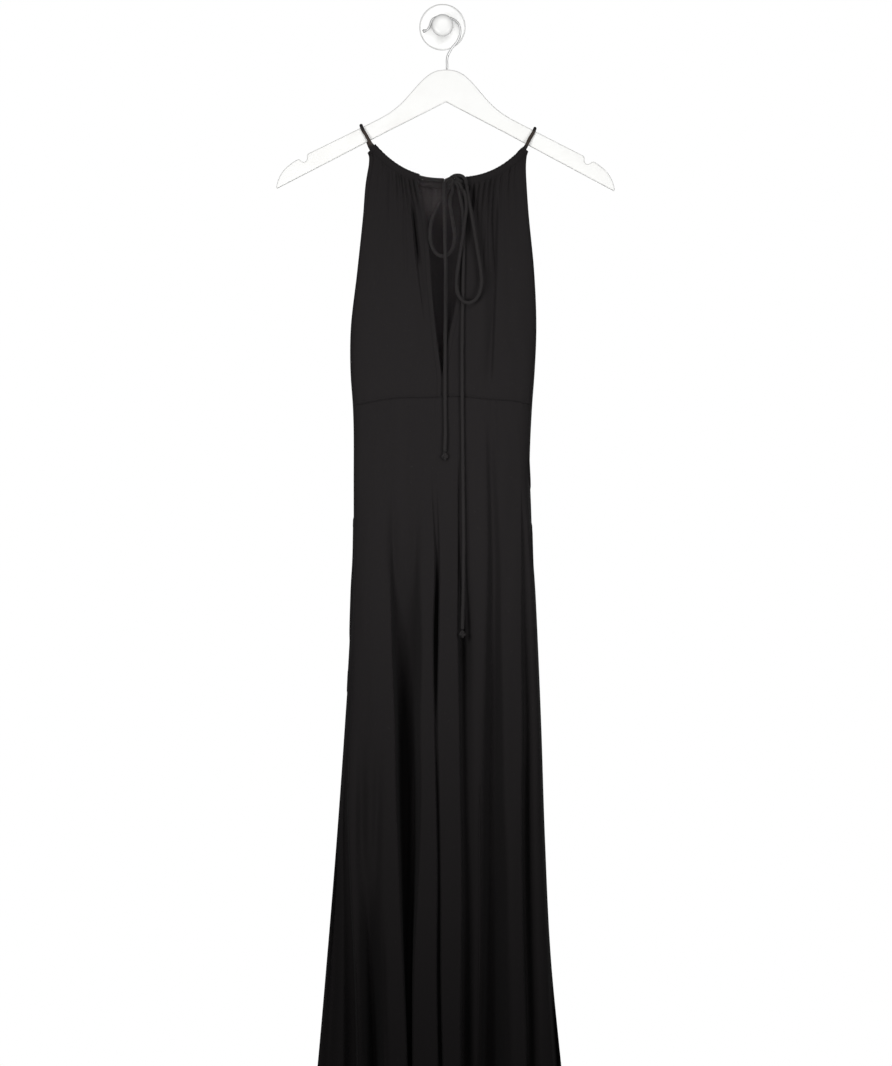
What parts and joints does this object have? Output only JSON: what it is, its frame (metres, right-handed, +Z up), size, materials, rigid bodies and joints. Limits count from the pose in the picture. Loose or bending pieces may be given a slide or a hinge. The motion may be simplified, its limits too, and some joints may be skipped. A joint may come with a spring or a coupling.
{
  "type": "maxi dress on a wall peg",
  "caption": "Sleeveless maxi dress with a drawstring neck, keyhole front, bow and flared folded skirt, on a flat wooden hanger over a round wall peg.",
  "frame": {"origin": "centre of the wall peg plate's back face, which lies on the wall", "axes": "+X to the right as a viewer facing the dress sees it, +Y into the wall, +Z up; the dress hangs down along -Z"},
  "size_m": [0.445, 0.109, 1.5975],
  "materials": {
    "jersey": "matt black jersey",
    "cord": "matt black jersey cord",
    "hanger_wood": "white satin paint",
    "hook_wire": "polished wire",
    "peg": "white satin"
  },
  "bodies": {
    "root": {"bodice_front_left": "jersey", "bodice_front_right": "jersey", "bodice_back": "jersey", "skirt_front": "jersey", "skirt_back": "jersey", "neck_cord": "cord", "bow_knot": "cord", "bow_loop_left": "cord", "bow_loop_right": "cord", "tie_end_left": "cord", "tie_end_right": "cord", "end_knot_left": "cord", "end_knot_right": "cord", "hanger_body": "hanger_wood", "hanger_hook": "hook_wire", "peg_plate": "peg", "peg_knob": "peg"}
  },
  "joints": []
}
